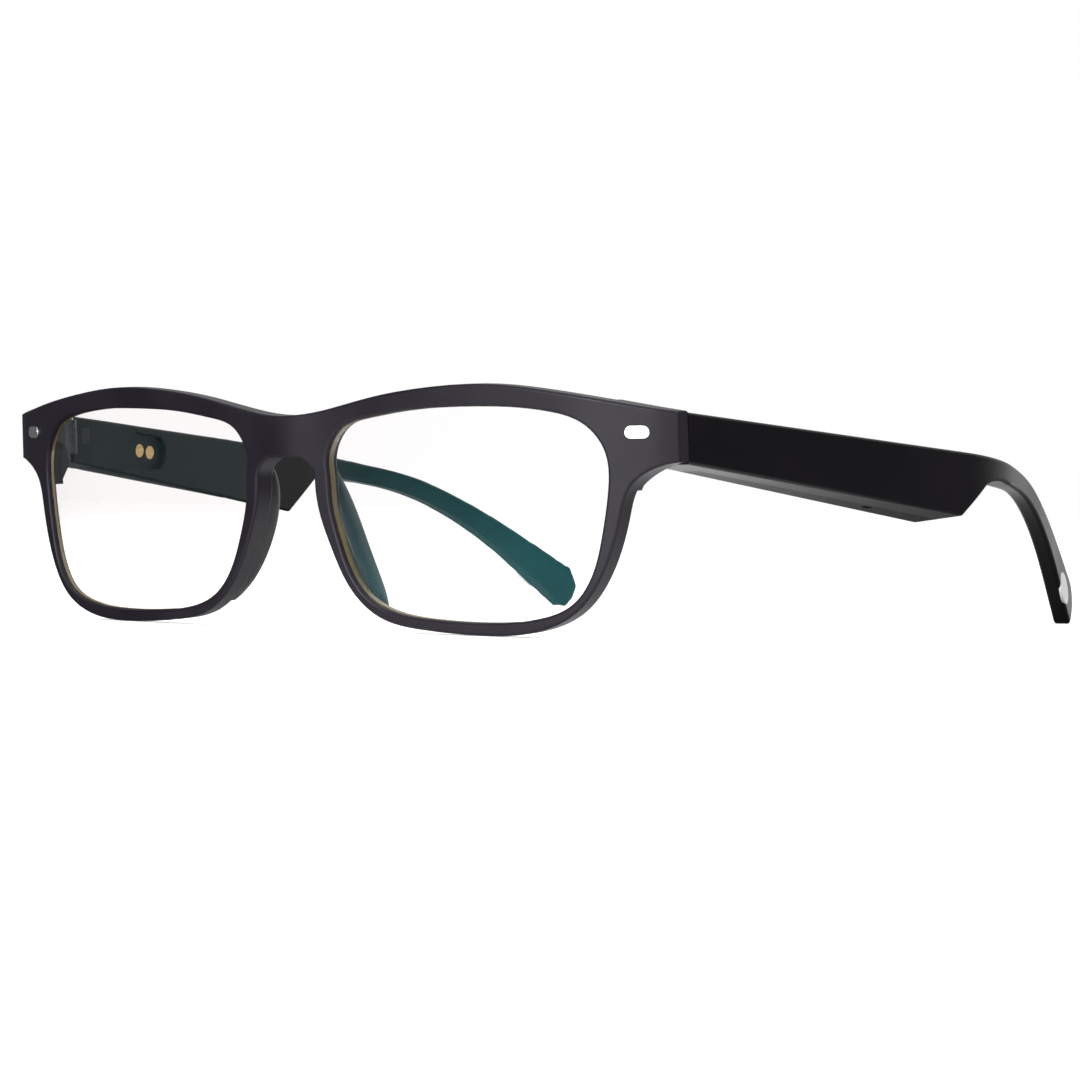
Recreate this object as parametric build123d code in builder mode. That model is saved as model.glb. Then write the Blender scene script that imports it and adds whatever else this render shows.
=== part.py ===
"""Smart glasses: a wrapped full-rim front, two lenses and two hollow electronic temples.

The front is drawn upright: X to the wearer's left, Y from the front back to the ears, Z up, with the
origin at the middle of the bridge's top edge. Everything is then tipped by REST_TILT about X, so that the
two rims and the two tips stand on the table, and moved so that the origin is the middle of the footprint.
Each left-hand piece is modelled, and its right-hand twin is its mirror image. Millimetres.
"""
from build123d import *
from math import atan, cos, degrees, radians, sin, tan
import os

os.makedirs("parts", exist_ok=True)

# ---- driving dimensions -------------------------------------------------------------------------
HALF_WIDTH = 70.0           # middle of the bridge to the outer corner of the front
WRAP = (9.4, -8.04, 9.3)    # depth of the wrapped face: sum of w * (x / HALF_WIDTH) ** (2, 4, 6)
BRIDGE_BULGE = 0.8          # how far the bridge stands forward of the wrap
BRIDGE_DEPTH = 5.0          # front to back at the middle of the bridge
RIM_DEPTH = 3.5             # front to back of the rims
SEAM_Y = 13.3               # butt joint between the front and the temples
SEAM_GAP = 0.1
EDGE_SOFTEN = 0.45          # rounding of the front's outer edges
BACK_SOFTEN = 0.6           # rounding of its edges on the wearer's side
TEMPLE_SOFTEN = 0.6         # rounding of the temples' edges

LENS_THICK = 2.0
LENS_INSET = 0.9            # lens face behind the frame's face
GROOVE = 0.5                # how far the lens enters the rim all round

TRIM_LENGTH, TRIM_HEIGHT, TRIM_THICK, TRIM_PROUD = 4.0, 2.0, 0.9, 0.15
TRIM_AT = (64.5, -2.95)     # x and z of the trim's middle

HINGE_X, HINGE_Y, HINGE_Z = 61.5, 14.2, -4.0
BARREL_R, BARREL_BORE, SCREW_R = 1.6, 0.60, 0.55
KNUCKLE_TALL, KNUCKLE_SHORT, KNUCKLE_GAP = 2.7, 1.55, 0.05
RELIEF_R = 1.72             # clearance cut round the barrels
LEAF_THICK = 1.0

TEMPLE_SPLAY = 6.4          # degrees that the temple opens outwards, seen from above
TIP_TOE_IN = 18.4           # degrees that the tip turns back inwards
TEMPLE_THICK = 8.7
TIP_THICK = 3.2
BEND_START_Y, BEND_R = 83.8, 38.8
TIP_END_Y = 152.0
WALL = 1.2
SPLIT_DEPTH = 4.35          # parting plane between the outer and the inner shell
CAP_END_Y = 21.0            # seam between the temple's end cap and its shells
COVER_END = 77.5            # length of the inner shell's rear end along the temple

TOP_START, TOP_SLOPE = -0.4, -0.1294        # top edge of the temple: z at y = 16, and its slope
BOTTOM_START, BOTTOM_SLOPE = -8.55, -0.1677  # bottom edge of the temple's outer face
UNDERSIDE_DROP = 0.024      # per millimetre of length, how much lower the inner bottom edge runs

RECESS_LENGTH, RECESS_HEIGHT, RECESS_DEPTH = 11.5, 6.2, 0.9
RECESS_TAPER = 10.0         # degrees that the recess narrows towards its floor
RECESS_U = 25.7             # place of the charging recess along the temple
CONTACT_U = (24.6, 27.65)
CONTACT_R = 1.2

# ---- resting pose -------------------------------------------------------------------------------
REST_TILT = 3.49            # degrees, front leaning back
REST_LIFT = 34.42           # rims and tips at z = 0
REST_SHIFT = -76.4          # middle of the footprint at y = 0
REST_POSE = Location((0, REST_SHIFT, REST_LIFT)) * Location((0, 0, 0), (REST_TILT, 0, 0))


def save(piece, name):
    """Stand a finished piece in its resting pose, label it and write its STEP file."""
    piece.part = piece.part.moved(REST_POSE)
    piece.part.label = name
    export_step(piece.part, f"parts/{name}.step")


def wrap(x):
    """Depth of the front's wrapped face at a distance x from the middle."""
    across = (x / HALF_WIDTH) ** 2
    return sum(weight * across ** (power + 1) for power, weight in enumerate(WRAP))


def wrap_slope(x):
    """Slope dy/dx of the wrapped face."""
    step = 0.01
    return (wrap(x + step) - wrap(x - step)) / (2 * step)


def temple_top(y):
    return TOP_START + TOP_SLOPE * (y - 16)


def temple_bottom(y):
    return BOTTOM_START + BOTTOM_SLOPE * (y - 16)


# ---- front: outlines seen from the front ----------------------------------------------------------
FRONT_VIEW = Plane.XZ.offset(5)
BROW = [(0, 0), (9.7, 1.2), (18.2, 3.0), (28.8, 4.4), (38.4, 4.8), (49.2, 3.8), (61.9, 1.65),
        (70.2, 0.15)]
CORNER = (70.3, -7.7)
RIM_OUTER = [CORNER, (66.5, -8.7), (63.3, -11.2), (61.7, -15.9), (58.9, -24.6), (54.4, -30.7),
             (48, -33.7), (37.5, -34.6), (26, -33.9), (18.6, -32.3), (12.8, -27.9), (8.9, -21.1),
             (6.9, -16.0), (6.1, -11.5)]
KEYHOLE = [(6.1, -11.5), (5.7, -8.8), (4.0, -7.2), (0, -6.7)]
APERTURE = [(8.6, -8.6), (9.4, -4.4), (11.8, -1.8), (16.5, -0.4), (24, 0.7), (33, 1.2), (42, 1.2), (50, 0.4),
            (56.3, -1.8), (59.3, -5.8), (59.7, -12), (58.6, -19), (56.9, -25), (53.8, -29.3), (48.5, -31.6),
            (39, -32.6), (28.5, -32.3), (21, -31.2), (16.2, -29), (12.8, -25), (10.5, -19.5), (9.0, -13.8)]
APERTURE_MIDDLE = (34.2, -15.7)
APERTURE_SIZE = (51.0, 33.8)

with BuildSketch(FRONT_VIEW) as outline_sketch:
    with BuildLine():
        Spline(*BROW, tangents=[(1, 0), (1, -0.16)])
        Line(BROW[-1], CORNER)
        rim = Spline(*RIM_OUTER)
        Spline(*KEYHOLE, tangents=[rim % 1, (-1, 0)])
        Line(KEYHOLE[-1], (0, 0))
    make_face()
    mirror(about=Plane.YZ)

with BuildSketch(FRONT_VIEW) as aperture_sketch:
    with BuildLine():
        Spline(*APERTURE, periodic=True)
    make_face()

LENS_OUTLINE = [
    tuple(middle + (place - middle) * (1 + 2 * GROOVE / size)
          for place, middle, size in zip(point, APERTURE_MIDDLE, APERTURE_SIZE))
    for point in APERTURE
]
with BuildSketch(FRONT_VIEW) as lens_sketch:
    with BuildLine():
        Spline(*LENS_OUTLINE, periodic=True)
    make_face()

# ---- front: curved bands seen from above ------------------------------------------------------------
FACE_X = (20, 35, 50, 60, 66, 71)
face_points = [(0, -BRIDGE_BULGE), (3.2, -BRIDGE_BULGE * 0.62), (6.0, -0.02), (8.0, 0.2), (12, 0.36)]
face_points += [(x, wrap(x)) for x in FACE_X]
back_points = [(x, wrap(x) + RIM_DEPTH) for x in reversed(FACE_X)]
back_points += [(12, BRIDGE_DEPTH - BRIDGE_BULGE - 0.1), (0, BRIDGE_DEPTH - BRIDGE_BULGE)]

with BuildSketch(Plane.XY.offset(-40)) as front_band:
    with BuildLine():
        face = Spline(*face_points, tangents=[(1, 0), (1, wrap_slope(71))])
        back = Spline(*back_points, tangents=[(-1, -wrap_slope(71)), (-1, 0)])
        Line(face @ 1, back @ 0)
        Line(back @ 1, face @ 0)
    make_face()
    mirror(about=Plane.YZ)

with BuildSketch(Plane.XY.offset(-12)) as endpiece_plan:
    with BuildLine():
        Polyline((58.2, 7.0), (66, wrap(66) + 1), (71, wrap(71) + 1), (71, SEAM_Y + 1), (60.4, SEAM_Y + 1),
                 (59.2, 11.4), (58.2, 7.0))
    make_face()
    mirror(about=Plane.YZ)

# Side view that trims the whole front, so that its top and underside run down to the temples.
with BuildSketch(Plane.YZ) as front_side:
    with BuildLine():
        Polyline((-4, 8), (8.6, 8), (8.8, 2.9), (SEAM_Y, temple_top(SEAM_Y)),
                 (SEAM_Y, temple_bottom(SEAM_Y)), (11.2, -11.2), (11.2, -38), (-4, -38), (-4, 8))
    make_face()

with BuildPart() as lens_left:
    with BuildSketch(Plane.XY.offset(-40)):
        with BuildLine():
            lens_face = Spline(*[(x, wrap(x) + LENS_INSET) for x in (6, 20, 35, 50, 62)])
            lens_back = Spline(*[(x, wrap(x) + LENS_INSET + LENS_THICK) for x in (62, 50, 35, 20, 6)])
            Line(lens_face @ 1, lens_back @ 0)
            Line(lens_back @ 1, lens_face @ 0)
        make_face()
    extrude(amount=50)
    extrude(lens_sketch.sketch, amount=-30, mode=Mode.INTERSECT)

with BuildPart() as lens_right:
    mirror(lens_left.part, about=Plane.YZ)

# ---- trims on the outer corners -------------------------------------------------------------------
trim_turn = degrees(atan(wrap_slope(TRIM_AT[0])))
trim_face = Plane(
    origin=(TRIM_AT[0], wrap(TRIM_AT[0]), TRIM_AT[1]),
    x_dir=(cos(radians(trim_turn)), sin(radians(trim_turn)), 0),
    z_dir=(sin(radians(trim_turn)), -cos(radians(trim_turn)), 0),
)

with BuildPart() as trim_left:
    with BuildSketch(trim_face.offset(TRIM_PROUD)):
        SlotOverall(TRIM_LENGTH, TRIM_HEIGHT)
    extrude(amount=-TRIM_THICK)
    fillet(trim_left.faces().filter_by(trim_face).sort_by(Axis.Y)[0].edges(), 0.12)

with BuildPart() as trim_right:
    mirror(trim_left.part, about=Plane.YZ)

# ---- hinges: front leaf, temple leaf and screw ------------------------------------------------------
hinge_foot = HINGE_Z - KNUCKLE_TALL / 2 - KNUCKLE_GAP - KNUCKLE_SHORT
hinge_head = HINGE_Z + KNUCKLE_TALL / 2 + KNUCKLE_GAP + KNUCKLE_SHORT
hinge_plan = Plane.XY.offset(hinge_foot)
knuckle_low = HINGE_Z - KNUCKLE_TALL / 2
knuckle_high = HINGE_Z + KNUCKLE_TALL / 2

with BuildPart() as hinge_front_leaf_left:
    with BuildSketch(hinge_plan):
        with Locations((HINGE_X, HINGE_Y)):
            Circle(BARREL_R)
        with Locations((HINGE_X, SEAM_Y - LEAF_THICK)):
            Rectangle(6.6, LEAF_THICK, align=(Align.MIN, Align.MIN))
    extrude(amount=hinge_head - hinge_foot)
    with BuildSketch(Plane.XY.offset(knuckle_low - KNUCKLE_GAP)):
        with Locations((HINGE_X, HINGE_Y)):
            Circle(RELIEF_R)
    extrude(amount=KNUCKLE_TALL + 2 * KNUCKLE_GAP, mode=Mode.SUBTRACT)
    with BuildSketch(Plane.XY.offset(hinge_foot)):
        with Locations((HINGE_X, HINGE_Y)):
            Circle(SCREW_R)
    extrude(amount=KNUCKLE_SHORT, mode=Mode.SUBTRACT)
    with BuildSketch(Plane.XY.offset(knuckle_high)):
        with Locations((HINGE_X, HINGE_Y)):
            Circle(BARREL_BORE)
    extrude(amount=KNUCKLE_SHORT + 1, mode=Mode.SUBTRACT)

with BuildPart() as hinge_temple_leaf_left:
    with BuildSketch(Plane.XY.offset(knuckle_low)):
        with Locations((HINGE_X, HINGE_Y)):
            Circle(BARREL_R)
        with Locations((HINGE_X + BARREL_R - LEAF_THICK, HINGE_Y)):
            Rectangle(LEAF_THICK, 6.0, align=(Align.MIN, Align.MIN))
        with Locations((HINGE_X, HINGE_Y)):
            Circle(BARREL_BORE, mode=Mode.SUBTRACT)
    extrude(amount=KNUCKLE_TALL)

HEAD_R, HEAD_TALL, SLOT_WIDE, SLOT_DEEP = 1.05, 0.45, 0.3, 0.25
with BuildPart() as hinge_screw_left:
    with BuildSketch(Plane.XZ.offset(-HINGE_Y)):
        with BuildLine():
            Polyline((HINGE_X, hinge_foot), (HINGE_X + SCREW_R, hinge_foot),
                     (HINGE_X + SCREW_R, hinge_head), (HINGE_X + HEAD_R, hinge_head),
                     (HINGE_X + HEAD_R, hinge_head + HEAD_TALL),
                     (HINGE_X, hinge_head + HEAD_TALL), (HINGE_X, hinge_foot))
        make_face()
    revolve(axis=Axis((HINGE_X, HINGE_Y, 0), (0, 0, 1)))
    with BuildSketch(Plane.XY.offset(hinge_head + HEAD_TALL)):
        with Locations((HINGE_X, HINGE_Y)):
            Rectangle(3, SLOT_WIDE)
    extrude(amount=-SLOT_DEEP, mode=Mode.SUBTRACT)

with BuildPart() as hinge_relief:
    with BuildSketch(Plane.XY.offset(-16)):
        with Locations((HINGE_X, HINGE_Y)):
            Circle(RELIEF_R)
    extrude(amount=22)

# ---- nose pads, bonded behind the inner sides of the rims ---------------------------------------------
# Each row: height z, x of the pad's root, how far it stands behind the rim, how wide it is.
PAD_SECTIONS = [(-9.0, 6.1, 1.2, 1.5), (-13.0, 6.3, 3.0, 2.4), (-18.0, 7.7, 3.8, 2.8),
                (-23.0, 9.9, 3.8, 2.8), (-27.5, 12.7, 3.1, 2.6), (-30.6, 15.6, 1.5, 1.8)]
PAD_ROOT_Y = 3.2
PAD_FLARE = 0.07            # sideways lean of the pad per millimetre behind the rim

with BuildPart() as pad_blank:
    for pad_z, root_x, stand, wide in PAD_SECTIONS:
        crest_y = 4.2 + stand
        lean = PAD_FLARE * (crest_y - PAD_ROOT_Y)
        with BuildSketch(Plane.XY.offset(pad_z)):
            with BuildLine():
                Spline((root_x + 0.15, PAD_ROOT_Y), (root_x + lean * 0.55, (PAD_ROOT_Y + crest_y) / 2),
                       (root_x + lean + wide * 0.3, crest_y - 0.25),
                       (root_x + lean + wide * 0.62, crest_y),
                       (root_x + lean * 0.8 + wide, (PAD_ROOT_Y + 2 * crest_y) / 3),
                       (root_x + wide * 0.9, PAD_ROOT_Y), periodic=True)
            make_face()
    loft()

# ---- front frame ------------------------------------------------------------------------------------
with BuildPart() as openings:
    extrude(aperture_sketch.sketch, amount=-30)
    mirror(about=Plane.YZ)

with BuildPart() as endpieces:
    extrude(endpiece_plan.sketch, amount=14)
    extrude(outline_sketch.sketch, amount=-30, mode=Mode.INTERSECT)
    add(openings.part, mode=Mode.SUBTRACT)

with BuildPart() as front_frame:
    extrude(front_band.sketch, amount=50)
    extrude(outline_sketch.sketch, amount=-30, mode=Mode.INTERSECT)
    add(openings.part, mode=Mode.SUBTRACT)
    face_side = front_frame.faces().filter_by(lambda side: side.normal_at().Y < -0.6)
    fillet(face_side.edges(), EDGE_SOFTEN)
    back_side = front_frame.faces().filter_by(lambda side: side.normal_at().Y > 0.6)
    fillet(back_side.edges(), BACK_SOFTEN)
    add(endpieces.part)
    extrude(front_side.sketch, amount=80, both=True, mode=Mode.INTERSECT)
    add([lens_left.part, lens_right.part, trim_left.part, trim_right.part], mode=Mode.SUBTRACT)
    add(hinge_front_leaf_left.part, mode=Mode.SUBTRACT)
    add(mirror(hinge_front_leaf_left.part, about=Plane.YZ, mode=Mode.PRIVATE), mode=Mode.SUBTRACT)
    add(hinge_relief.part, mode=Mode.SUBTRACT)
    add(mirror(hinge_relief.part, about=Plane.YZ, mode=Mode.PRIVATE), mode=Mode.SUBTRACT)

with BuildPart() as pad_seat:
    add(front_frame.part)
    add([lens_left.part, lens_right.part])

with BuildPart() as nose_pad_left:
    add(pad_blank.part)
    add(pad_seat.part, mode=Mode.SUBTRACT)

# ---- temple: plane along its outer face, outlines and the whole body ----------------------------------
# In the temple's plane u runs back along the temple, v up across it and w outwards, w = 0 on its outer face.
splay = radians(TEMPLE_SPLAY)
dip = atan((TOP_SLOPE + BOTTOM_SLOPE) / 2)
ROOT_X, ROOT_Y = 70.0, 10.7
middle_z = (temple_top(ROOT_Y) + temple_bottom(ROOT_Y)) / 2
temple_face = Plane(
    origin=(ROOT_X, ROOT_Y, middle_z),
    x_dir=(sin(splay) * cos(dip), cos(splay) * cos(dip), sin(dip)),
    z_dir=(cos(splay), -sin(splay), 0),
)

bend_x = ROOT_X + (BEND_START_Y - ROOT_Y) * tan(splay)
toe_in = radians(TIP_TOE_IN)
bend_end = (bend_x + BEND_R * (cos(toe_in) - cos(splay)),
            BEND_START_Y + BEND_R * (sin(splay) + sin(toe_in)))
bend_mid = (bend_x + BEND_R * (cos((toe_in - splay) / 2) - cos(splay)),
            BEND_START_Y + BEND_R * (sin(splay) + sin((toe_in - splay) / 2)))
PLAN_END_Y = 156.0
plan_end = (bend_end[0] - (PLAN_END_Y - bend_end[1]) * tan(toe_in), PLAN_END_Y)


def inset_plan(point, heading, depth):
    """Point a given depth inside the outer plan curve, where the curve heads outwards by an angle."""
    return (point[0] - depth * cos(heading), point[1] + depth * sin(heading))


def temple_band(outer_depth, inner_depth, tip_inner_depth, tip_start=9.0):
    """Plan band of the left temple between two depths under its outer face, thinner in the tip."""
    root = (ROOT_X, ROOT_Y)
    bend = (bend_x, BEND_START_Y)
    tip_root = (bend_end[0] - tip_start * sin(toe_in), bend_end[1] + tip_start * cos(toe_in))
    with BuildSketch(Plane.XY.offset(-50)) as band:
        with BuildLine():
            Line(inset_plan(root, splay, outer_depth), inset_plan(bend, splay, outer_depth))
            ThreePointArc(inset_plan(bend, splay, outer_depth),
                          inset_plan(bend_mid, (splay - toe_in) / 2, outer_depth),
                          inset_plan(bend_end, -toe_in, outer_depth))
            Line(inset_plan(bend_end, -toe_in, outer_depth), inset_plan(plan_end, -toe_in, outer_depth))
            Line(inset_plan(plan_end, -toe_in, outer_depth),
                 inset_plan(plan_end, -toe_in, tip_inner_depth))
            Line(inset_plan(plan_end, -toe_in, tip_inner_depth),
                 inset_plan(tip_root, -toe_in, tip_inner_depth))
            Spline(inset_plan(tip_root, -toe_in, tip_inner_depth), inset_plan(bend, splay, inner_depth),
                   tangents=[(sin(toe_in), -cos(toe_in)), (-sin(splay), -cos(splay))])
            Line(inset_plan(bend, splay, inner_depth), inset_plan(root, splay, inner_depth))
            Line(inset_plan(root, splay, inner_depth), inset_plan(root, splay, outer_depth))
        make_face()
    return band.sketch


START_Y = SEAM_Y + SEAM_GAP
TIP_TOP = [(BEND_START_Y, temple_top(BEND_START_Y)), (94.5, -10.8), (106.9, -13.2), (117.9, -16.4),
           (126.9, -20.6), (135.9, -25.9), (149.2, -35.0)]
TIP_END = [(149.2, -35.0), (151.5, -37.6), (TIP_END_Y - 0.3, -41.0), (149.6, -43.5), (146.6, -41.4)]
TIP_UNDER = [(146.6, -41.4), (135.8, -31.5), (126.8, -24.9), (117.8, -20.2), (108.6, -17.2), (99.5, -15.4),
             (93.6, -14.5)]
STEP_FOOT = (81.9, temple_bottom(81.9))
STEP_HEAD = (88.6, -15.3)
step_run, step_rise = STEP_HEAD[0] - STEP_FOOT[0], STEP_HEAD[1] - STEP_FOOT[1]
UNDERSIDE_SPARE = 0.3       # layer under the finished underside, cut away with it


def inner_bottom(y):
    """Bottom edge of the temple's inner face, which runs lower towards the ear."""
    return temple_bottom(y) - UNDERSIDE_DROP * (y - SEAM_Y)


blank_drop = UNDERSIDE_DROP * (STEP_FOOT[0] - SEAM_Y) + UNDERSIDE_SPARE
blank_foot = (STEP_FOOT[0] - blank_drop * step_run / step_rise, STEP_FOOT[1] - blank_drop)

with BuildSketch(Plane.YZ.offset(50)) as temple_side:
    with BuildLine():
        Line((START_Y, temple_top(START_Y)), TIP_TOP[0])
        Spline(*TIP_TOP, tangents=[(1, TOP_SLOPE), (0.82, -0.57)])
        Spline(*TIP_END, tangents=[(0.82, -0.57), (-0.74, 0.67)])
        Spline(*TIP_UNDER, tangents=[(-0.74, 0.67), (-1, 0.05)])
        Spline(TIP_UNDER[-1], STEP_HEAD, tangents=[(-1, 0.05), (-step_run, -step_rise)])
        Line(STEP_HEAD, blank_foot)
        Line(blank_foot, (START_Y, temple_bottom(START_Y) - UNDERSIDE_SPARE))
        Line((START_Y, temple_bottom(START_Y) - UNDERSIDE_SPARE), (START_Y, temple_top(START_Y)))
    make_face()

# Everything under the finished underside, which slopes down from the outer to the inner face.
with BuildPart() as below_temple:
    for station_y in (SEAM_Y - 2, 95):
        across = TEMPLE_THICK / cos(splay)
        outer_x = ROOT_X + (station_y - ROOT_Y) * tan(splay)
        outer_z = temple_bottom(station_y)
        inner_z = inner_bottom(station_y)
        lean = (outer_z - inner_z) / across
        with BuildSketch(Plane.XZ.offset(-station_y)):
            with BuildLine():
                Polyline((outer_x + 3, outer_z + 3 * lean), (outer_x - across - 3, inner_z - 3 * lean),
                         (outer_x - across - 3, inner_z - 6), (outer_x + 3, inner_z - 6), close=True)
            make_face()
    loft(ruled=True)

with BuildPart() as temple_body:
    extrude(temple_band(0, TEMPLE_THICK, TIP_THICK), amount=60)
    extrude(temple_side.sketch, amount=40, mode=Mode.INTERSECT)
    add(below_temple.part, mode=Mode.SUBTRACT)
    fillet(temple_body.edges().filter_by(lambda edge: edge.center().Y > START_Y + 0.5), TEMPLE_SOFTEN)


def temple_plan_at(depth):
    """Sketch plane parallel to the temple's outer face, a given depth inside it."""
    return temple_face.offset(-depth)


def slab(near_depth, far_depth, start, end, low, high):
    """Block in the temple's own directions, from a start to an end along it."""
    with BuildPart() as block:
        with BuildSketch(temple_plan_at(near_depth)):
            with Locations(((start + end) / 2, (low + high) / 2)):
                Rectangle(end - start, high - low)
        extrude(amount=-(far_depth - near_depth))
    return block.part


# ---- temple: cap, shells and the hollow between them ---------------------------------------------------
REAR_Y = 84.5
HOLLOW_END = (REAR_Y, -16.1)
HOLLOW_FOOT = (81.0, -18.1)


def hollow_prism(start_y, end_y, wall):
    """Side view of the hollow inside the walls, as a prism across the temple."""
    with BuildPart() as prism:
        with BuildSketch(Plane.YZ.offset(50)):
            with BuildLine():
                if end_y < HOLLOW_FOOT[0]:
                    rear = [(end_y, temple_bottom(end_y) + wall)]
                else:
                    rear = [HOLLOW_END, HOLLOW_FOOT]
                Polyline((start_y, temple_top(start_y) - wall), (end_y, temple_top(end_y) - wall),
                         *rear, (start_y, temple_bottom(start_y) + wall), close=True)
            make_face()
        extrude(amount=40)
    return prism.part


with BuildPart() as hollow:
    add(hollow_prism(CAP_END_Y, REAR_Y, WALL))
    add(slab(WALL, TEMPLE_THICK - WALL, 0, 90, -12, 12), mode=Mode.INTERSECT)

TONGUE_END_Y, TONGUE_PLAY = 25.0, 0.06
with BuildPart() as tongue:
    add(hollow_prism(CAP_END_Y - 1, TONGUE_END_Y, WALL + TONGUE_PLAY))
    add(slab(WALL + TONGUE_PLAY, TEMPLE_THICK - WALL - TONGUE_PLAY, 0, 40, -12, 12),
        mode=Mode.INTERSECT)

with BuildPart() as temple_end_cap_left:
    add(temple_body.part)
    split(bisect_by=Plane.XZ.offset(-CAP_END_Y), keep=Keep.TOP)
    add(tongue.part)
    add(hinge_relief.part, mode=Mode.SUBTRACT)
    add(hinge_temple_leaf_left.part, mode=Mode.SUBTRACT)

with BuildPart() as shell_stock:
    add(temple_body.part)
    split(bisect_by=Plane.XZ.offset(-CAP_END_Y), keep=Keep.BOTTOM)

cover_space = slab(SPLIT_DEPTH, 2 * TEMPLE_THICK, 0, COVER_END, -20, 20)
recess_plane = temple_plan_at(TEMPLE_THICK)
FLOOR_DEPTH = TEMPLE_THICK - RECESS_DEPTH       # the recess floor, measured from the outer face
FLOOR_BACK = FLOOR_DEPTH - 1.0                  # back of the floor inside the hollow

# ---- charging contacts and magnets --------------------------------------------------------------------
BOARD_DEPTH, BOARD_THICK = 3.3, 0.8
board_face = BOARD_DEPTH + BOARD_THICK
with BuildPart() as charge_contacts_left:
    for contact_u in CONTACT_U:
        with BuildSketch(temple_plan_at(board_face)):
            with Locations((contact_u, 0)):
                Circle(CONTACT_R * 0.6)
        extrude(amount=-(FLOOR_DEPTH - board_face))
        with BuildSketch(temple_plan_at(FLOOR_DEPTH - 0.7)):
            with Locations((contact_u, 0)):
                Circle(CONTACT_R)
        extrude(amount=-0.7)

MAGNET_R, MAGNET_THICK, MAGNET_REACH = 2.0, 1.2, 8.6
with BuildPart() as charge_magnets_left:
    with BuildSketch(temple_plan_at(TEMPLE_THICK - WALL - MAGNET_THICK)):
        with Locations((RECESS_U - MAGNET_REACH, 0), (RECESS_U + MAGNET_REACH, 0)):
            Circle(MAGNET_R)
    extrude(amount=-MAGNET_THICK)

# ---- speaker outlet in the rear step, microphone port under the temple ----------------------------------
OUTLET_LENGTH, OUTLET_WIDTH, OUTLET_THICK = 3.6, 1.5, 0.5
step_mid = Vector(0, (STEP_HEAD[0] + STEP_FOOT[0]) / 2 - 0.2, (STEP_HEAD[1] + STEP_FOOT[1]) / 2 - 0.12)
outlet_x = ROOT_X + (step_mid.Y - ROOT_Y) * tan(splay) - 6.3
step_plane = Plane(origin=(outlet_x, step_mid.Y, step_mid.Z), x_dir=(0, step_run, step_rise),
                   z_dir=(0, step_rise, -step_run))

with BuildPart() as speaker_mesh_left:
    with BuildSketch(step_plane.offset(-0.25)):
        SlotOverall(OUTLET_LENGTH, OUTLET_WIDTH)
    extrude(amount=-OUTLET_THICK)

with BuildPart() as outlet:
    with BuildSketch(step_plane.offset(2)):
        SlotOverall(OUTLET_LENGTH, OUTLET_WIDTH)
    extrude(amount=-5)

MIC_U, MIC_DEPTH, PORT_LENGTH, PORT_WIDTH = 54.2, 5.6, 2.2, 1.2
mic_wall = (temple_bottom(ROOT_Y + MIC_U * cos(splay) * cos(dip)) - middle_z) - MIC_U * sin(dip)
mic_v = mic_wall / cos(dip)
under_plane = Plane(origin=temple_face.from_local_coords((MIC_U, mic_v, -MIC_DEPTH)),
                    x_dir=temple_face.x_dir, z_dir=-temple_face.y_dir)

with BuildPart() as microphone_mesh_left:
    with BuildSketch(under_plane.offset(-0.25)):
        SlotOverall(PORT_LENGTH, PORT_WIDTH)
    extrude(amount=-0.4)

with BuildPart() as port:
    with BuildSketch(under_plane.offset(2)):
        SlotOverall(PORT_LENGTH, PORT_WIDTH)
    extrude(amount=-4)

# ---- shells -------------------------------------------------------------------------------------------
with BuildPart() as temple_inner_shell_left:
    add(shell_stock.part)
    add(cover_space, mode=Mode.INTERSECT)
    add(hollow.part, mode=Mode.SUBTRACT)
    with BuildSketch(temple_plan_at(FLOOR_BACK)):
        with Locations((RECESS_U, 0)):
            Rectangle(RECESS_LENGTH + 1.2, RECESS_HEIGHT)
    extrude(amount=-(TEMPLE_THICK - WALL - FLOOR_BACK))
    with BuildSketch(recess_plane):
        with Locations((RECESS_U, 0)):
            SlotOverall(RECESS_LENGTH, RECESS_HEIGHT)
    extrude(amount=RECESS_DEPTH, taper=RECESS_TAPER, mode=Mode.SUBTRACT)
    add(charge_contacts_left.part, mode=Mode.SUBTRACT)
    add([outlet.part, port.part], mode=Mode.SUBTRACT)

# ---- tip core, a flat steel strip bent with the tip ------------------------------------------------------
CORE_START_Y, CORE_END_Y = 92.0, 139.0
with BuildSketch(Plane.YZ.offset(40)) as core_side:
    with BuildLine():
        core_line = Spline((CORE_START_Y, -12.6), (106.9, -14.9), (117.9, -18.2), (126.9, -22.7),
                           (CORE_END_Y, -31.4))
    trace(core_line, 1.6)

with BuildPart() as tip_core_left:
    extrude(temple_band(1.1, 1.9, 1.9), amount=60)
    extrude(core_side.sketch, amount=50, mode=Mode.INTERSECT)

# ---- pale oval on the outer face of the tip ---------------------------------------------------------------
OVAL_LONG, OVAL_WIDE, OVAL_THICK = 8.2, 4.4, 0.5
OVAL_Y, OVAL_Z, OVAL_DIP = 144.4, -36.6, 38.0
oval_x = bend_end[0] - (OVAL_Y - bend_end[1]) * tan(toe_in)
oval_dip = radians(OVAL_DIP)
oval_plane = Plane(
    origin=(oval_x, OVAL_Y, OVAL_Z),
    x_dir=(-sin(toe_in) * cos(oval_dip), cos(toe_in) * cos(oval_dip), -sin(oval_dip)),
    z_dir=(cos(toe_in), sin(toe_in), 0),
)
with BuildPart() as tip_oval_left:
    with BuildSketch(oval_plane.offset(0.05)):
        Ellipse(OVAL_LONG / 2, OVAL_WIDE / 2)
    extrude(amount=-OVAL_THICK)

with BuildPart() as temple_outer_shell_left:
    add(shell_stock.part)
    add(cover_space, mode=Mode.SUBTRACT)
    add(hollow.part, mode=Mode.SUBTRACT)
    add([tip_core_left.part, tip_oval_left.part], mode=Mode.SUBTRACT)
    add(outlet.part, mode=Mode.SUBTRACT)

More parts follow.
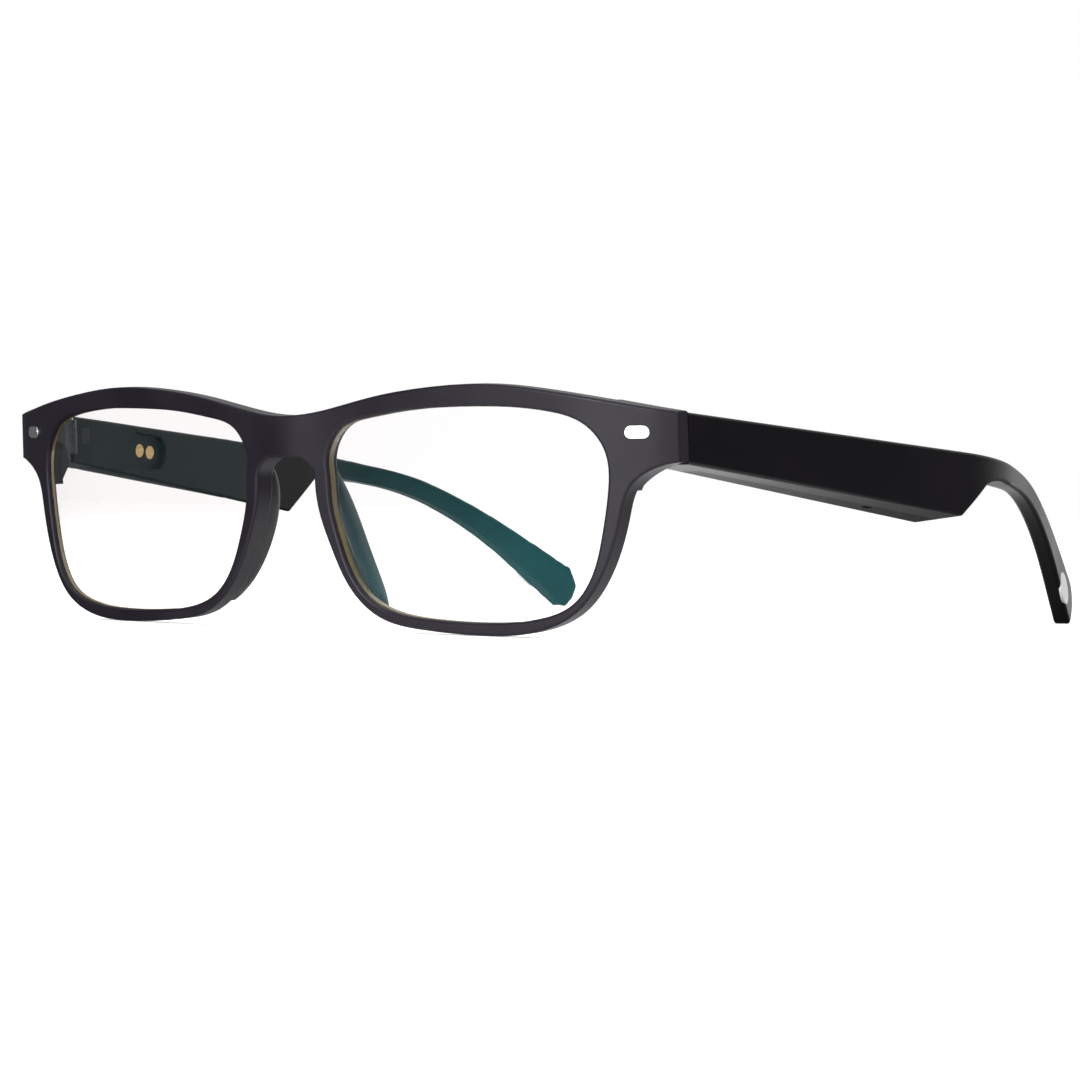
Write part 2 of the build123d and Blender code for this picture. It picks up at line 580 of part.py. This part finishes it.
# ---- electronics in the hollow ---------------------------------------------------------------------------
with BuildPart() as circuit_board_left:
    add(slab(BOARD_DEPTH, board_face, 16.0, 33.5, -2.9, 2.9))

with BuildPart() as wireless_module_left:
    add(slab(BOARD_DEPTH - 1.3, BOARD_DEPTH, 19.0, 26.0, -2.5, 2.5))
    fillet(wireless_module_left.edges().filter_by(temple_face, reverse=True), 0.4)

with BuildPart() as antenna_left:
    add(slab(WALL, WALL + 0.15, 16.0, 31.0, -2.4, 2.4))

BATTERY_START, BATTERY_END = 35.0, 52.0
with BuildPart() as battery_left:
    add(slab(2.0, 6.2, BATTERY_START, BATTERY_END, -3.1, 3.1))
    fillet(battery_left.edges().filter_by(Axis(temple_face.origin, temple_face.x_dir)), 1.0)

with BuildPart() as touch_sensor_left:
    add(slab(WALL, WALL + 0.15, 36.0, 51.0, -2.6, 2.6))

with BuildPart() as microphone_left:
    mic_low = mic_v + WALL + 0.15
    add(slab(MIC_DEPTH - 1.0, MIC_DEPTH + 1.0, MIC_U - 1.4, MIC_U + 1.4, mic_low, mic_low + 1.0))

SPEAKER_START, SPEAKER_END = 57.5, 69.5
with BuildPart() as speaker_left:
    add(slab(2.2, 5.2, SPEAKER_START, SPEAKER_END, -3.0, 3.0))
    fillet(speaker_left.edges().filter_by(Axis(temple_face.origin, temple_face.z_dir)), 1.2)
    with BuildSketch(temple_plan_at(5.2)):
        with Locations(((SPEAKER_START + SPEAKER_END) / 2, 0)):
            SlotOverall(9.0, 3.8)
    extrude(amount=-0.3)

LEAD_R = 0.3
with BuildPart() as battery_leads_left:
    for lead_v in (-1.0, 1.0):
        lead_start = temple_face.from_local_coords((33.5, lead_v, -3.7))
        with BuildSketch(Plane(origin=lead_start, x_dir=temple_face.y_dir, z_dir=temple_face.x_dir)):
            Circle(LEAD_R)
        extrude(amount=BATTERY_START - 33.5)

LEAD_BOARD_U, LEAD_SPEAKER_U, LEAD_DEPTH, LEAD_BEND = 32.4, 60.0, 7.05, 1.2
with BuildPart() as speaker_leads_left:
    for lead_v in (-2.65, 2.65):
        corners = [(LEAD_BOARD_U, -board_face), (LEAD_BOARD_U, -LEAD_DEPTH), (LEAD_SPEAKER_U, -LEAD_DEPTH),
                   (LEAD_SPEAKER_U, -5.2)]
        with BuildLine() as route:
            bends = [temple_face.from_local_coords((u, lead_v, w)) for u, w in corners]
            FilletPolyline(*bends, radius=LEAD_BEND)
        with BuildSketch(Plane(origin=route.line @ 0, z_dir=route.line % 0)):
            Circle(LEAD_R)
        sweep(path=route.line)

# ---- hand-in: every left-hand piece and its mirror image -----------------------------------------------
LEFT_PIECES = {
    "lens": lens_left, "trim": trim_left, "nose_pad": nose_pad_left,
    "hinge_front_leaf": hinge_front_leaf_left, "hinge_temple_leaf": hinge_temple_leaf_left,
    "hinge_screw": hinge_screw_left, "temple_end_cap": temple_end_cap_left,
    "temple_outer_shell": temple_outer_shell_left, "temple_inner_shell": temple_inner_shell_left,
    "tip_core": tip_core_left, "tip_oval": tip_oval_left, "charge_contacts": charge_contacts_left,
    "charge_magnets": charge_magnets_left, "circuit_board": circuit_board_left,
    "wireless_module": wireless_module_left, "antenna": antenna_left, "battery": battery_left,
    "battery_leads": battery_leads_left, "touch_sensor": touch_sensor_left, "microphone": microphone_left,
    "microphone_mesh": microphone_mesh_left, "speaker": speaker_left, "speaker_leads": speaker_leads_left,
    "speaker_mesh": speaker_mesh_left,
}

save(front_frame, "front_frame")
for piece_name, left_piece in LEFT_PIECES.items():
    with BuildPart() as right_piece:
        mirror(left_piece.part, about=Plane.YZ)
    save(left_piece, piece_name + "_left")
    save(right_piece, piece_name + "_right")

# ---- places in the resting pose, for the joints and mounts ----------------------------------------------


def placed(point):
    """A point of the upright drawing, in the resting pose, in metres."""
    spot = (REST_POSE * Location(point)).position
    return [round(value / 1000, 5) for value in spot]


hinge_axis = (Location((0, 0, 0), (REST_TILT, 0, 0)) * Location((0, 0, 1))).position
floor_point = temple_face.from_local_coords((RECESS_U - 4.0, 0, -FLOOR_DEPTH))
print("hinge at", placed((HINGE_X, HINGE_Y, HINGE_Z)), "axis", [round(value, 5) for value in hinge_axis])
print("recess floor at", placed(tuple(floor_point)))
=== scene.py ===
"""Looks for a pair of smart glasses: satin black frame and temples, coated clear lenses.

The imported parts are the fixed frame. Each of them gets its finish here, and the ground edges of the
lenses are added. Metres; +X is the wearer's left, the front faces -Y.
"""

import bmesh
import bpy
from mathutils import Matrix, Vector


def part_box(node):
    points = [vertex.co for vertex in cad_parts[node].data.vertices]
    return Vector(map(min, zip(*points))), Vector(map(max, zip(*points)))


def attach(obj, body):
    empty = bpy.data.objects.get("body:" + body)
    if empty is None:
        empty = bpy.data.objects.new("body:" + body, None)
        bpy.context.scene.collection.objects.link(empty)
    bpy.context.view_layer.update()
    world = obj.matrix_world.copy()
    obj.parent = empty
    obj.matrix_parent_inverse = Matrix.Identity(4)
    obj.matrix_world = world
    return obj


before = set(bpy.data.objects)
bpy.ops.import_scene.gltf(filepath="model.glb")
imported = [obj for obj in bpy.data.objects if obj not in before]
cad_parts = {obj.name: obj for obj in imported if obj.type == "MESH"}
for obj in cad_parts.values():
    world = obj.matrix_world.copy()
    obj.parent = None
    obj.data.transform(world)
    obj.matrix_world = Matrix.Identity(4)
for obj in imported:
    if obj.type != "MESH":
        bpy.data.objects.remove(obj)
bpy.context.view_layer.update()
SIDES = ("left", "right")
MM = 0.001

CAMERA_PLACE = (0.391303, -0.522708, 0.021335)
TABLE_WHITE = (0.93, 0.93, 0.93)
# painted light: the table's glow, which fills the shadows cast on it
TABLE_PAINTED_GLOW = (0.30, 0.30, 0.30)
NO_GLOW = (0.0, 0.0, 0.0)
# colour of the dark screens in the white room; on the table it is painted shade
SCREEN_AND_PAINTED_SHADE_TONE = (0.02, 0.02, 0.022)
BEHIND_HEADING = (0.82, 0.57, 0.0)
BESIDE_HEADING = (-0.97, -0.24, 0.0)
EDGE_DRAW_IN = 0.55 * MM        # how far the lens's edge band stands inside the lens's own wall


# ---- camera, floor and light ----

def camera():
    """A long lens from the wearer's front left, just above the table."""
    data = bpy.data.cameras.new("camera")
    data.lens = 122.31
    data.sensor_width = 36.0
    data.shift_x = -0.00286
    data.shift_y = -0.00944
    data.clip_start = 0.01
    data.clip_end = 30.0
    placed = bpy.data.objects.new("camera", data)
    right = Vector((0.79663, 0.60414, 0.01438)).normalized()
    back = right.cross(Vector((-0.01627, -0.00234, 0.99986))).normalized()
    up = back.cross(right)
    turn = Matrix((right, up, back)).transposed().to_4x4()
    placed.matrix_world = Matrix.Translation(CAMERA_PLACE) @ turn
    bpy.context.scene.collection.objects.link(placed)
    bpy.context.scene.camera = placed


def dark_screen(tree, direction, heading, edge, middle, depth):
    """How much of a dark screen stands in a direction: 0 at its edge, depth in its middle."""
    towards = tree.nodes.new("ShaderNodeVectorMath")
    towards.operation = "DOT_PRODUCT"
    towards.inputs[1].default_value = heading
    tree.links.new(direction, towards.inputs[0])
    screen = tree.nodes.new("ShaderNodeMapRange")
    screen.interpolation_type = "SMOOTHSTEP"
    screen.inputs["From Min"].default_value = edge
    screen.inputs["From Max"].default_value = middle
    screen.inputs["To Max"].default_value = depth
    tree.links.new(towards.outputs["Value"], screen.inputs["Value"])
    return screen.outputs["Result"]


def screened(tree, direction):
    """Shade of the two dark screens. It is nil to the camera and to a ray straight through a lens."""
    screens = tree.nodes.new("ShaderNodeMath")
    screens.operation = "ADD"
    screens.use_clamp = True
    behind = dark_screen(tree, direction, BEHIND_HEADING, 0.72, 0.96, 0.80)
    beside = dark_screen(tree, direction, BESIDE_HEADING, 0.15, 0.85, 0.92)
    tree.links.new(behind, screens.inputs[0])
    tree.links.new(beside, screens.inputs[1])
    ray = tree.nodes.new("ShaderNodeLightPath")
    straight = tree.nodes.new("ShaderNodeMath")
    straight.operation = "SUBTRACT"
    straight.use_clamp = True
    tree.links.new(ray.outputs["Is Transmission Ray"], straight.inputs[0])
    tree.links.new(ray.outputs["Glossy Depth"], straight.inputs[1])
    plain = tree.nodes.new("ShaderNodeMath")
    plain.operation = "MAXIMUM"
    tree.links.new(ray.outputs["Is Camera Ray"], plain.inputs[0])
    tree.links.new(straight.outputs["Value"], plain.inputs[1])
    shade = tree.nodes.new("ShaderNodeMath")
    shade.operation = "SUBTRACT"
    shade.use_clamp = True
    tree.links.new(screens.outputs["Value"], shade.inputs[0])
    tree.links.new(plain.outputs["Value"], shade.inputs[1])
    return shade.outputs["Value"]


def floor():
    """A wide table top, white to the camera, with a little painted glow that fills the shadows on it. In
    reflections it is painted dark, without glow, under the two screens: painted shade.
    """
    shape = bmesh.new()
    bmesh.ops.create_grid(shape, x_segments=1, y_segments=1, size=6.0)
    mesh = bpy.data.meshes.new("table_top")
    shape.to_mesh(mesh)
    shape.free()
    placed = bpy.data.objects.new("table_top", mesh)
    bpy.context.scene.collection.objects.link(placed)
    made, shader, place = material("white_table_painted_glow_and_shade")
    outwards = made.node_tree.nodes.new("ShaderNodeVectorMath")
    outwards.operation = "NORMALIZE"
    made.node_tree.links.new(place, outwards.inputs[0])
    shade = screened(made.node_tree, outwards.outputs["Vector"])
    # painted shade: under the screens the table's colour goes dark to reflections and bounce light
    blend_colours(made, shade, TABLE_WHITE, SCREEN_AND_PAINTED_SHADE_TONE, shader.inputs["Base Color"])
    # painted light: the table glows, except under the screens
    blend_colours(made, shade, TABLE_PAINTED_GLOW, NO_GLOW, shader.inputs["Emission Color"])
    shader.inputs["Emission Strength"].default_value = 1.0
    shader.inputs["Roughness"].default_value = 0.9
    shader.inputs["Specular IOR Level"].default_value = 0.1
    mesh.materials.append(made)


def softbox(name, place, aim, size, power):
    """A square soft light at place, turned to face aim."""
    data = bpy.data.lights.new(name, "AREA")
    data.shape = "SQUARE"
    data.size = size
    data.energy = power
    placed = bpy.data.objects.new(name, data)
    turn = (Vector(aim) - Vector(place)).to_track_quat("-Z", "Y").to_matrix().to_4x4()
    placed.matrix_world = Matrix.Translation(place) @ turn
    bpy.context.scene.collection.objects.link(placed)


def studio():
    """A white room with soft lights and a dark screen on each side of the table."""
    world = bpy.data.worlds.new("white_room")
    world.use_nodes = True
    bpy.context.scene.world = world
    tree = world.node_tree
    direction = tree.nodes.new("ShaderNodeTexCoord")
    tone = tree.nodes.new("ShaderNodeMix")
    tone.data_type = "RGBA"
    tone.inputs[6].default_value = (1.0, 1.0, 1.0, 1.0)
    tone.inputs[7].default_value = (*SCREEN_AND_PAINTED_SHADE_TONE, 1.0)
    tree.links.new(screened(tree, direction.outputs["Generated"]), tone.inputs["Factor"])
    tree.links.new(tone.outputs[2], tree.nodes["Background"].inputs["Color"])
    softbox("front_softbox", (0.05, -1.2, 0.35), (0.02, -0.15, 0.0), 0.5, 16.0)
    softbox("top_softbox", (0.0, 0.25, 1.9), (0, 0, 0), 1.8, 14.0)
    bpy.context.scene.view_settings.view_transform = "Standard"


# ---- effects that several finishes share ----

def effect(name, inputs, outputs):
    """An empty node group with those number inputs and outputs, and a Vector to place the pattern."""
    group = bpy.data.node_groups.new(name, "ShaderNodeTree")
    group.interface.new_socket("Vector", in_out="INPUT", socket_type="NodeSocketVector")
    for label, value in inputs:
        socket = group.interface.new_socket(label, in_out="INPUT", socket_type="NodeSocketFloat")
        socket.default_value = value
    for label in outputs:
        group.interface.new_socket(label, in_out="OUTPUT", socket_type="NodeSocketFloat")
    entry = group.nodes.new("NodeGroupInput")
    leave = group.nodes.new("NodeGroupOutput")
    return group, entry, leave


def group_noise(group, entry, scale, detail):
    """A noise texture in a group. scale is the name of the input that sets its scale."""
    texture = group.nodes.new("ShaderNodeTexNoise")
    texture.inputs["Detail"].default_value = detail
    group.links.new(entry.outputs["Vector"], texture.inputs["Vector"])
    group.links.new(entry.outputs[scale], texture.inputs["Scale"])
    return texture.outputs["Fac"]


def group_range(group, value, low, high, interpolation="LINEAR"):
    """value spread from low..high to 0..1."""
    spread = group.nodes.new("ShaderNodeMapRange")
    spread.interpolation_type = interpolation
    spread.inputs["From Min"].default_value = low
    spread.inputs["From Max"].default_value = high
    group.links.new(value, spread.inputs["Value"])
    return spread.outputs["Result"]


def moulded_grain():
    """Fine matt texture as a mould leaves it, and the slow change of tone over a moulded skin."""
    inputs = (("Grain Scale", 9000.0), ("Tone Scale", 45.0))
    group, entry, leave = effect("moulded_grain", inputs, ("Grain", "Tone"))
    grain = group_noise(group, entry, "Grain Scale", 2.0)
    tone = group_noise(group, entry, "Tone Scale", 3.0)
    group.links.new(group_range(group, grain, 0.3, 0.7), leave.inputs["Grain"])
    group.links.new(group_range(group, tone, 0.35, 0.65, "SMOOTHSTEP"), leave.inputs["Tone"])
    return group


def handling_marks():
    """Faint dull patches where fingers touch."""
    inputs = (("Patch Scale", 70.0),)
    group, entry, leave = effect("handling_marks", inputs, ("Patches",))
    patches = group_noise(group, entry, "Patch Scale", 4.0)
    group.links.new(group_range(group, patches, 0.45, 0.75, "SMOOTHSTEP"), leave.inputs["Patches"])
    return group


def brushed_lines():
    """Long fine scratches along one direction, as on drawn or turned metal."""
    inputs = (("Line Scale", 6000.0),)
    group, entry, leave = effect("brushed_lines", inputs, ("Lines",))
    stretch = group.nodes.new("ShaderNodeVectorMath")
    stretch.operation = "MULTIPLY"
    stretch.inputs[1].default_value = (0.04, 0.04, 1.0)
    group.links.new(entry.outputs["Vector"], stretch.inputs[0])
    texture = group.nodes.new("ShaderNodeTexNoise")
    texture.inputs["Detail"].default_value = 3.0
    group.links.new(stretch.outputs["Vector"], texture.inputs["Vector"])
    group.links.new(entry.outputs["Line Scale"], texture.inputs["Scale"])
    group.links.new(group_range(group, texture.outputs["Fac"], 0.3, 0.7), leave.inputs["Lines"])
    return group


def punched_holes():
    """Rows of small round holes, as in a punched or etched metal mesh."""
    inputs = (("Hole Scale", 3600.0),)
    group, entry, leave = effect("punched_holes", inputs, ("Hole",))
    cells = group.nodes.new("ShaderNodeTexVoronoi")
    cells.inputs["Randomness"].default_value = 0.0
    group.links.new(entry.outputs["Vector"], cells.inputs["Vector"])
    group.links.new(entry.outputs["Hole Scale"], cells.inputs["Scale"])
    group.links.new(group_range(group, cells.outputs["Distance"], 0.36, 0.30), leave.inputs["Hole"])
    return group


def copper_traces():
    """The pattern of tracks under a board's lacquer."""
    inputs = (("Track Scale", 900.0),)
    group, entry, leave = effect("copper_traces", inputs, ("Track",))
    cells = group.nodes.new("ShaderNodeTexVoronoi")
    cells.distance = "MANHATTAN"
    cells.feature = "F2"
    group.links.new(entry.outputs["Vector"], cells.inputs["Vector"])
    group.links.new(entry.outputs["Track Scale"], cells.inputs["Scale"])
    bands = group.nodes.new("ShaderNodeMath")
    bands.operation = "PINGPONG"
    bands.inputs[1].default_value = 0.15
    group.links.new(cells.outputs["Distance"], bands.inputs[0])
    group.links.new(group_range(group, bands.outputs["Value"], 0.07, 0.08), leave.inputs["Track"])
    return group


GRAIN = moulded_grain()
MARKS = handling_marks()
BRUSHED = brushed_lines()
HOLES = punched_holes()
TRACKS = copper_traces()


# ---- small steps that every finish is made of ----

def material(name):
    """A new material, its shader, and the Object coordinates that place its patterns."""
    made = bpy.data.materials.new(name)
    made.use_nodes = True
    place = made.node_tree.nodes.new("ShaderNodeTexCoord")
    return made, made.node_tree.nodes["Principled BSDF"], place.outputs["Object"]


def use(made, place, group, **values):
    """One of the shared effects in a material, with its own values. Spaces in labels are underscores."""
    node = made.node_tree.nodes.new("ShaderNodeGroup")
    node.node_tree = group
    made.node_tree.links.new(place, node.inputs["Vector"])
    for label, value in values.items():
        node.inputs[label.replace("_", " ")].default_value = value
    return node.outputs


def noise(made, place, scale, detail):
    """A plain noise texture's value."""
    texture = made.node_tree.nodes.new("ShaderNodeTexNoise")
    texture.inputs["Scale"].default_value = scale
    texture.inputs["Detail"].default_value = detail
    made.node_tree.links.new(place, texture.inputs["Vector"])
    return texture.outputs["Fac"]


def blend_colours(made, mask, low, high, target):
    """A colour between low and high by mask, led to target."""
    mix = made.node_tree.nodes.new("ShaderNodeMix")
    mix.data_type = "RGBA"
    mix.inputs[6].default_value = (*low, 1.0)
    mix.inputs[7].default_value = (*high, 1.0)
    made.node_tree.links.new(mask, mix.inputs["Factor"])
    made.node_tree.links.new(mix.outputs[2], target)


def spread(made, mask, low, high, target):
    """mask from 0..1 to low..high, led to target."""
    node = made.node_tree.nodes.new("ShaderNodeMapRange")
    node.inputs["To Min"].default_value = low
    node.inputs["To Max"].default_value = high
    made.node_tree.links.new(mask, node.inputs["Value"])
    made.node_tree.links.new(node.outputs["Result"], target)


def bump(made, shader, height, depth):
    """Relief of that depth, in metres, from height."""
    node = made.node_tree.nodes.new("ShaderNodeBump")
    node.inputs["Distance"].default_value = depth
    node.inputs["Strength"].default_value = 1.0
    made.node_tree.links.new(height, node.inputs["Height"])
    made.node_tree.links.new(node.outputs["Normal"], shader.inputs["Normal"])


# ---- finishes ----

def moulded_plastic(name, dark, light, rough, grain_scale, grain_depth, gloss):
    """Moulded plastic: dark and light are its two tones, rough its two roughnesses."""
    made, shader, place = material(name)
    skin = use(made, place, GRAIN, Grain_Scale=grain_scale)
    blend_colours(made, skin["Tone"], dark, light, shader.inputs["Base Color"])
    spread(made, skin["Tone"], rough[0], rough[1], shader.inputs["Roughness"])
    bump(made, shader, skin["Grain"], grain_depth)
    shader.inputs["Specular IOR Level"].default_value = gloss
    return made


def satin_front():
    """The front: black acetate with a fine satin skin."""
    return moulded_plastic("satin_front", (0.0060, 0.0042, 0.0080), (0.0090, 0.0070, 0.0115),
                           (0.38, 0.44), 9000.0, 0.0000015, 0.20)


def deep_black_temple():
    """The temples: the blackest plastic, a little glossier than the front."""
    return moulded_plastic("deep_black_temple", (0.0022, 0.0015, 0.0026), (0.0040, 0.0028, 0.0044),
                           (0.30, 0.36), 9000.0, 0.000001, 0.13)


def cover_black():
    """The inner covers of the temples, moulded to match."""
    return moulded_plastic("cover_black", (0.0035, 0.003, 0.0035), (0.006, 0.0055, 0.006),
                           (0.42, 0.50), 8000.0, 0.000001, 0.15)


def coated_lens():
    """Clear lens with an anti-reflection coating that leaves a weak blue-green reflection."""
    made, shader, place = material("coated_lens")
    marks = use(made, place, MARKS, Patch_Scale=50.0)
    blend_colours(made, marks["Patches"], (1.0, 0.998, 1.0), (0.992, 0.99, 0.994),
                  shader.inputs["Base Color"])
    spread(made, marks["Patches"], 0.0, 0.006, shader.inputs["Roughness"])
    shader.inputs["Transmission Weight"].default_value = 1.0
    shader.inputs["IOR"].default_value = 1.5
    shader.inputs["Specular IOR Level"].default_value = 0.5
    shader.inputs["Specular Tint"].default_value = (0.02, 0.52, 0.56, 1.0)
    return made


def lens_edge():
    """The ground and lacquered edge of a lens: brown, with a yellow line where light runs round it."""
    made, shader, place = material("lens_edge")
    band = noise(made, place, 900.0, 3.0)
    blend_colours(made, band, (0.045, 0.028, 0.006), (0.150, 0.100, 0.020),
                  shader.inputs["Base Color"])
    spread(made, band, 0.25, 0.45, shader.inputs["Roughness"])
    return made


def bright_trim():
    """Polished silver inlay."""
    made, shader, place = material("bright_trim")
    lines = use(made, place, BRUSHED, Line_Scale=3000.0)["Lines"]
    blend_colours(made, lines, (0.80, 0.80, 0.82), (0.95, 0.95, 0.96), shader.inputs["Base Color"])
    spread(made, lines, 0.12, 0.24, shader.inputs["Roughness"])
    shader.inputs["Metallic"].default_value = 1.0
    return made


def soft_pad():
    """Nose pads: black, softer and smoother than the front."""
    return moulded_plastic("soft_pad", (0.0035, 0.0035, 0.005), (0.006, 0.006, 0.008),
                           (0.34, 0.44), 8000.0, 0.0000006, 0.20)


def turned_metal(name, dark, light, rough):
    """Metal with fine machining lines between two tones."""
    made, shader, place = material(name)
    lines = use(made, place, BRUSHED)["Lines"]
    blend_colours(made, lines, dark, light, shader.inputs["Base Color"])
    spread(made, lines, rough[0], rough[1], shader.inputs["Roughness"])
    bump(made, shader, lines, 0.000002)
    shader.inputs["Metallic"].default_value = 1.0
    return made


def hinge_steel():
    """Hinge leaves: stamped steel, blackened."""
    return turned_metal("hinge_steel", (0.035, 0.035, 0.038), (0.075, 0.075, 0.080), (0.34, 0.46))


def screw_steel():
    """Hinge screws: bright turned steel."""
    return turned_metal("screw_steel", (0.46, 0.45, 0.44), (0.66, 0.65, 0.64), (0.16, 0.28))


def core_wire():
    """The core in the tip: a flat drawn strip."""
    return turned_metal("core_wire", (0.50, 0.49, 0.47), (0.62, 0.61, 0.60), (0.22, 0.34))


def gold_contact():
    """Charging contacts: gold plated."""
    return turned_metal("gold_contact", (0.92, 0.60, 0.22), (1.0, 0.76, 0.38), (0.16, 0.26))


def nickel_magnet():
    """Magnets: nickel plated, with the soft orange peel of plating."""
    made, shader, place = material("nickel_magnet")
    peel = noise(made, place, 1500.0, 2.0)
    blend_colours(made, peel, (0.50, 0.49, 0.46), (0.64, 0.62, 0.58), shader.inputs["Base Color"])
    spread(made, peel, 0.18, 0.30, shader.inputs["Roughness"])
    bump(made, shader, peel, 0.000004)
    shader.inputs["Metallic"].default_value = 1.0
    return made


def pale_oval():
    """The oval inlays in the tips: pale grey and smooth."""
    return moulded_plastic("pale_oval", (0.74, 0.74, 0.76), (0.84, 0.84, 0.85),
                           (0.30, 0.40), 5000.0, 0.000002, 0.5)


def green_board():
    """Circuit board: green lacquer over copper tracks."""
    made, shader, place = material("green_board")
    track = use(made, place, TRACKS)["Track"]
    blend_colours(made, track, (0.006, 0.060, 0.020), (0.030, 0.150, 0.050),
                  shader.inputs["Base Color"])
    spread(made, track, 0.36, 0.26, shader.inputs["Roughness"])
    bump(made, shader, track, 0.00002)
    return made


def shield_can():
    """The tinned can over the radio."""
    return turned_metal("shield_can", (0.55, 0.55, 0.54), (0.70, 0.70, 0.69), (0.26, 0.40))


def amber_flex():
    """Flexible film: amber polyimide over copper."""
    made, shader, place = material("amber_flex")
    track = use(made, place, TRACKS, Track_Scale=700.0)["Track"]
    blend_colours(made, track, (0.30, 0.110, 0.012), (0.52, 0.22, 0.040),
                  shader.inputs["Base Color"])
    spread(made, track, 0.30, 0.22, shader.inputs["Roughness"])
    return made


def foil_cell():
    """Battery: aluminium pouch with fine creases."""
    made, shader, place = material("foil_cell")
    crease = noise(made, place, 600.0, 5.0)
    blend_colours(made, crease, (0.62, 0.62, 0.64), (0.78, 0.78, 0.80), shader.inputs["Base Color"])
    spread(made, crease, 0.26, 0.42, shader.inputs["Roughness"])
    bump(made, shader, crease, 0.00006)
    shader.inputs["Metallic"].default_value = 0.9
    return made


def red_lead():
    """Leads: red silicone insulation."""
    return moulded_plastic("red_lead", (0.30, 0.010, 0.008), (0.40, 0.016, 0.012),
                           (0.38, 0.46), 5000.0, 0.000004, 0.5)


def punched_mesh():
    """Speaker and microphone mesh: black punched steel."""
    made, shader, place = material("punched_mesh")
    hole = use(made, place, HOLES)["Hole"]
    blend_colours(made, hole, (0.055, 0.055, 0.060), (0.001, 0.001, 0.001),
                  shader.inputs["Base Color"])
    spread(made, hole, 0.35, 0.90, shader.inputs["Roughness"])
    bump(made, shader, hole, -0.00005)
    return made


def speaker_body():
    """Speaker and microphone housings: dull black moulding."""
    return moulded_plastic("speaker_body", (0.014, 0.014, 0.015), (0.022, 0.022, 0.024),
                           (0.48, 0.58), 5000.0, 0.000006, 0.4)


# ---- which part gets which finish ----

def dress(finish, *nodes):
    """Every material slot of these parts gets finish."""
    for name in nodes:
        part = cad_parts[name]
        if not part.material_slots:
            part.data.materials.append(finish)
        for held in part.material_slots:
            held.material = finish


def pairs(*names):
    """Each name with both sides."""
    return [f"{name}_{side}" for name in names for side in SIDES]


def dress_all():
    """Finishes for every part of the frame, inside and out."""
    dress(satin_front(), "front_frame")
    dress(coated_lens(), *pairs("lens"))
    dress(bright_trim(), *pairs("trim"))
    dress(soft_pad(), *pairs("nose_pad"))
    dress(hinge_steel(), *pairs("hinge_front_leaf", "hinge_temple_leaf"))
    dress(screw_steel(), *pairs("hinge_screw"))
    dress(deep_black_temple(), *pairs("temple_outer_shell", "temple_end_cap"))
    dress(cover_black(), *pairs("temple_inner_shell"))
    dress(core_wire(), *pairs("tip_core"))
    dress(pale_oval(), *pairs("tip_oval"))
    dress(gold_contact(), *pairs("charge_contacts"))
    dress(nickel_magnet(), *pairs("charge_magnets"))
    dress(green_board(), *pairs("circuit_board"))
    dress(shield_can(), *pairs("wireless_module"))
    dress(amber_flex(), *pairs("antenna", "touch_sensor"))
    dress(foil_cell(), *pairs("battery"))
    dress(red_lead(), *pairs("battery_leads", "speaker_leads"))
    dress(speaker_body(), *pairs("speaker", "microphone"))
    dress(punched_mesh(), *pairs("speaker_mesh", "microphone_mesh"))
    for lens in pairs("lens"):
        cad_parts[lens].visible_shadow = False


# ---- pieces added to the frame ----

def add_piece(name, shape, finish, body):
    """A finished bmesh becomes a piece that rides on body."""
    mesh = bpy.data.meshes.new(name)
    shape.to_mesh(mesh)
    shape.free()
    mesh.materials.append(finish)
    placed = bpy.data.objects.new(name, mesh)
    bpy.context.scene.collection.objects.link(placed)
    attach(placed, body)


def lens_edge_band(side, finish):
    """The lens's ground edge, just inside the rim: the lens's own wall, drawn in a little."""
    shape = bmesh.new()
    shape.from_mesh(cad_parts[f"lens_{side}"].data)
    bmesh.ops.remove_doubles(shape, verts=shape.verts, dist=0.01 * MM)
    shape.normal_update()
    faces = [face for face in shape.faces if abs(face.normal.y) > 0.5]
    bmesh.ops.delete(shape, geom=faces, context="FACES")
    low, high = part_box(f"lens_{side}")
    middle = (low + high) / 2
    size = high - low
    factors = (1 - 2 * EDGE_DRAW_IN / size.x, 1.0, 1 - 2 * EDGE_DRAW_IN / size.z)
    bmesh.ops.scale(shape, vec=factors, verts=shape.verts, space=Matrix.Translation(-middle))
    add_piece(f"lens_edge_{side}", shape, finish, "front")


dress_all()
camera()
floor()
studio()
edge = lens_edge()
for side in SIDES:
    lens_edge_band(side, edge)
